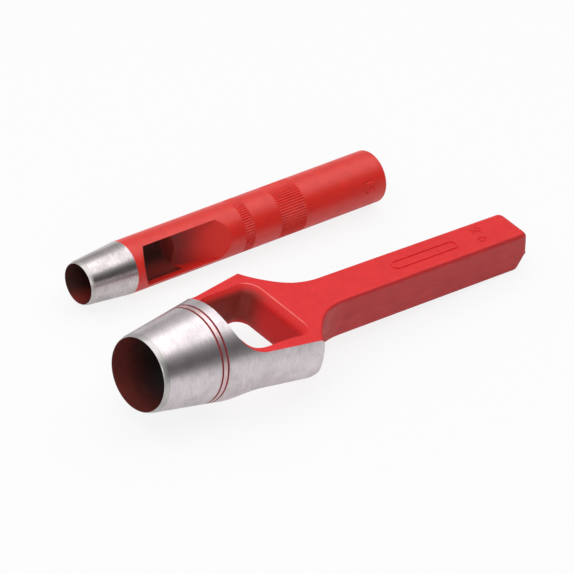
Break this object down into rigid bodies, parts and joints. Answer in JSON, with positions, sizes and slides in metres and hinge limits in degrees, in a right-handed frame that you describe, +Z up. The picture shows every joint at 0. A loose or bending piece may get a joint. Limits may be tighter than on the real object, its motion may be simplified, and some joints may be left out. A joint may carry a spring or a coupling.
{
  "type": "belt punch set",
  "caption": "Red lacquered steel arch punch and round punch lying side by side, each with a bored cutting head, a window and a struck end.",
  "frame": {"origin": "bottom centre of the box round both punches, on the surface that they lie on", "axes": "+X along the arch punch from its cutting edge to its struck end, +Y from the arch punch towards the round punch, +Z up"},
  "size_m": [0.1784, 0.091, 0.0359],
  "materials": {
    "arch_steel": "red lacquer over forged tool steel, with a bare ground head",
    "round_steel": "red lacquer over turned tool steel, with a bare ground cutting cone"
  },
  "bodies": {
    "arch": {"arch_punch": "arch_steel"},
    "round": {"round_punch": "round_steel"}
  },
  "joints": [
    {"name": "round_punch_lift", "type": "slide", "parent": "arch", "child": "round", "axis": [0, 0, 1], "range_m": [0, 0.12]}
  ]
}
